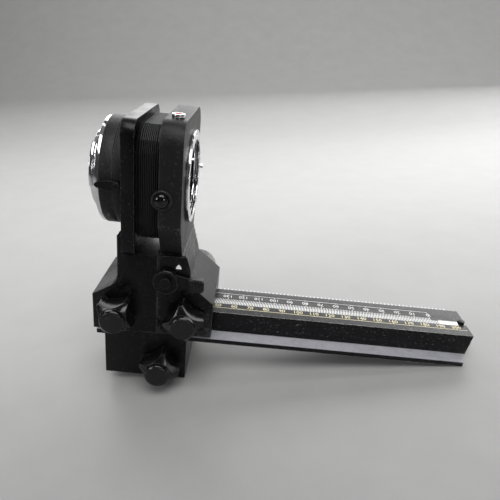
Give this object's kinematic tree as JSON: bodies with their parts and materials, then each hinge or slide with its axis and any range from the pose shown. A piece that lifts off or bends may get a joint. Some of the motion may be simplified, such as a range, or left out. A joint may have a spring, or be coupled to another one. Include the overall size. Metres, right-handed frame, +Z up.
{
  "type": "macro bellows on a focusing rail",
  "caption": "Close-up bellows with camera and lens standards on a scaled geared rail, over a focusing stage with a tripod socket.",
  "frame": {"origin": "centre of the tripod socket's mouth, in the flat underside of the focusing stage", "axes": "+X along the rail towards the lens, +Y to the side with the drive knobs, +Z up from the stage"},
  "size_m": [0.2314, 0.086, 0.1597],
  "materials": {
    "black_paint": "satin black enamel on die-cast aluminium",
    "crinkle_paint": "fine crinkle black enamel on die-cast aluminium",
    "anodised": "satin black anodised, white and pale yellow printed scales",
    "knob_black": "moulded black, semi-gloss",
    "chrome": "bright chrome",
    "steel": "turned steel",
    "brass": "machined brass",
    "bellows_cloth": "pleated black leathercloth",
    "red_ring": "red lacquered ring"
  },
  "bodies": {
    "stage": {"stage_block": "black_paint", "tripod_bush": "steel", "stage_bush": "brass", "stage_lock_pad": "brass"},
    "rail": {"rail": "anodised", "focus_rack": "steel", "stage_rack": "steel", "end_stop": "chrome", "rail_end_screws": "steel"},
    "stage_drive": {"stage_shaft": "steel", "stage_pinion": "brass", "stage_drive_knob": "knob_black"},
    "stage_lock": {"stage_lock_screw": "chrome", "stage_lock_knob": "knob_black"},
    "rear_standard": {"rear_carriage": "black_paint", "rear_frame": "black_paint", "rear_frame_screws": "steel", "rear_bush": "brass", "rear_lock_pad": "brass", "turret_collar": "black_paint", "turret_lock_pivot": "steel", "bellows": "bellows_cloth", "bellows_rear_clamp": "black_paint"},
    "rear_drive": {"rear_shaft": "steel", "rear_pinion": "brass", "rear_drive_knob": "knob_black"},
    "rear_lock": {"rear_lock_screw": "chrome", "rear_lock_knob": "knob_black"},
    "camera_turret": {"turret_drum": "black_paint", "turret_retainer": "steel", "camera_mount": "chrome", "camera_mount_screws": "steel"},
    "turret_lock": {"turret_lock_lever": "chrome"},
    "front_standard": {"front_carriage": "black_paint", "front_frame": "crinkle_paint", "bellows_front_clamp": "black_paint", "lens_mount_ring": "chrome", "lens_mount_screws": "steel", "lens_throat": "black_paint", "cable_socket": "chrome", "cable_socket_core": "red_ring", "front_lock_pad": "brass", "lever_housing": "black_paint", "lever_screw": "black_paint"},
    "front_sleeve": {"front_bush": "brass"},
    "front_drive": {"front_shaft": "steel", "front_pinion": "brass", "front_drive_knob": "knob_black"},
    "front_lock": {"front_lock_screw": "chrome", "front_lock_knob": "knob_black"},
    "lens_release": {"lens_release_button": "knob_black"},
    "lens_lock": {"lens_lock_pin": "chrome"},
    "stop_down": {"stop_down_lever": "black_paint"},
    "aperture": {"aperture_ring": "chrome"}
  },
  "joints": [
    {"name": "rail_slide", "type": "slide", "parent": "stage", "child": "rail", "axis": [1, 0, 0], "range_m": [-0.16, 0]},
    {"name": "stage_drive_turn", "type": "hinge", "parent": "stage", "child": "stage_drive", "pos_m": [0.01, 0, 0.0125], "axis": [0, 1, 0], "range_deg": [-1909.96, 0.1]},
    {"name": "stage_lock_turn", "type": "hinge", "parent": "stage", "child": "stage_lock", "pos_m": [0.01, -0.03, 0.0125], "axis": [0, -1, 0], "range_deg": [0, 120]},
    {"name": "rear_slide", "type": "slide", "parent": "rail", "child": "rear_standard", "axis": [1, 0, 0], "range_m": [0, 0.035]},
    {"name": "rear_drive_turn", "type": "hinge", "parent": "rear_standard", "child": "rear_drive", "pos_m": [-0.01565, 0, 0.0465], "axis": [0, 1, 0], "range_deg": [-0.1, 417.88]},
    {"name": "rear_lock_turn", "type": "hinge", "parent": "rear_standard", "child": "rear_lock", "pos_m": [-0.01565, -0.03, 0.0465], "axis": [0, -1, 0], "range_deg": [0, 120]},
    {"name": "camera_turn", "type": "hinge", "parent": "rear_standard", "child": "camera_turret", "pos_m": [-0.0243, 0, 0.1225], "axis": [1, 0, 0], "range_deg": [-90, 90]},
    {"name": "turret_lock_turn", "type": "hinge", "parent": "rear_standard", "child": "turret_lock", "pos_m": [-0.01475, -0.031, 0.1225], "axis": [0, 1, 0], "range_deg": [0, 25]},
    {"name": "front_slide", "type": "slide", "parent": "rear_standard", "child": "front_standard", "axis": [1, 0, 0], "range_m": [0, 0.12], "deforming": ["bellows"]},
    {"name": "front_sleeve_turn", "type": "hinge", "parent": "front_standard", "child": "front_sleeve", "pos_m": [0.02335, 0, 0.0465], "axis": [0, 1, 0], "range_deg": [-0.1, 417.88]},
    {"name": "front_drive_turn", "type": "hinge", "parent": "front_sleeve", "child": "front_drive", "pos_m": [0.02335, 0, 0.0465], "axis": [0, 1, 0], "range_deg": [-0.1, 1432.49]},
    {"name": "front_lock_turn", "type": "hinge", "parent": "front_standard", "child": "front_lock", "pos_m": [0.02335, -0.03, 0.0465], "axis": [0, -1, 0], "range_deg": [0, 120]},
    {"name": "lens_release_press", "type": "slide", "parent": "front_standard", "child": "lens_release", "axis": [0, 1, 0], "range_m": [0, 0.002], "stiffness_N_per_m": 300, "springref_m": -0.001},
    {"name": "lens_lock_travel", "type": "slide", "parent": "front_standard", "child": "lens_lock", "axis": [1, 0, 0], "range_m": [-0.002, 0]},
    {"name": "stop_down_turn", "type": "hinge", "parent": "front_standard", "child": "stop_down", "pos_m": [0.0119, -0.03, 0.069], "axis": [0, 1, 0], "range_deg": [0, 20], "stiffness_Nm_per_rad": 0.02, "springref_deg": -14.32},
    {"name": "aperture_turn", "type": "hinge", "parent": "front_standard", "child": "aperture", "pos_m": [0.018, 0, 0.1225], "axis": [1, 0, 0], "range_deg": [0, 20]}
  ],
  "couplings": [
    {"joint": "stage_drive_turn", "follows": "rail_slide", "rad_per_m": 208.33},
    {"joint": "rear_drive_turn", "follows": "rear_slide", "rad_per_m": 208.33},
    {"joint": "front_sleeve_turn", "follows": "rear_slide", "rad_per_m": 208.33},
    {"joint": "front_drive_turn", "follows": "front_slide", "rad_per_m": 208.33},
    {"joint": "lens_lock_travel", "follows": "lens_release_press", "ratio": -1},
    {"joint": "aperture_turn", "follows": "stop_down_turn", "ratio": 1}
  ]
}
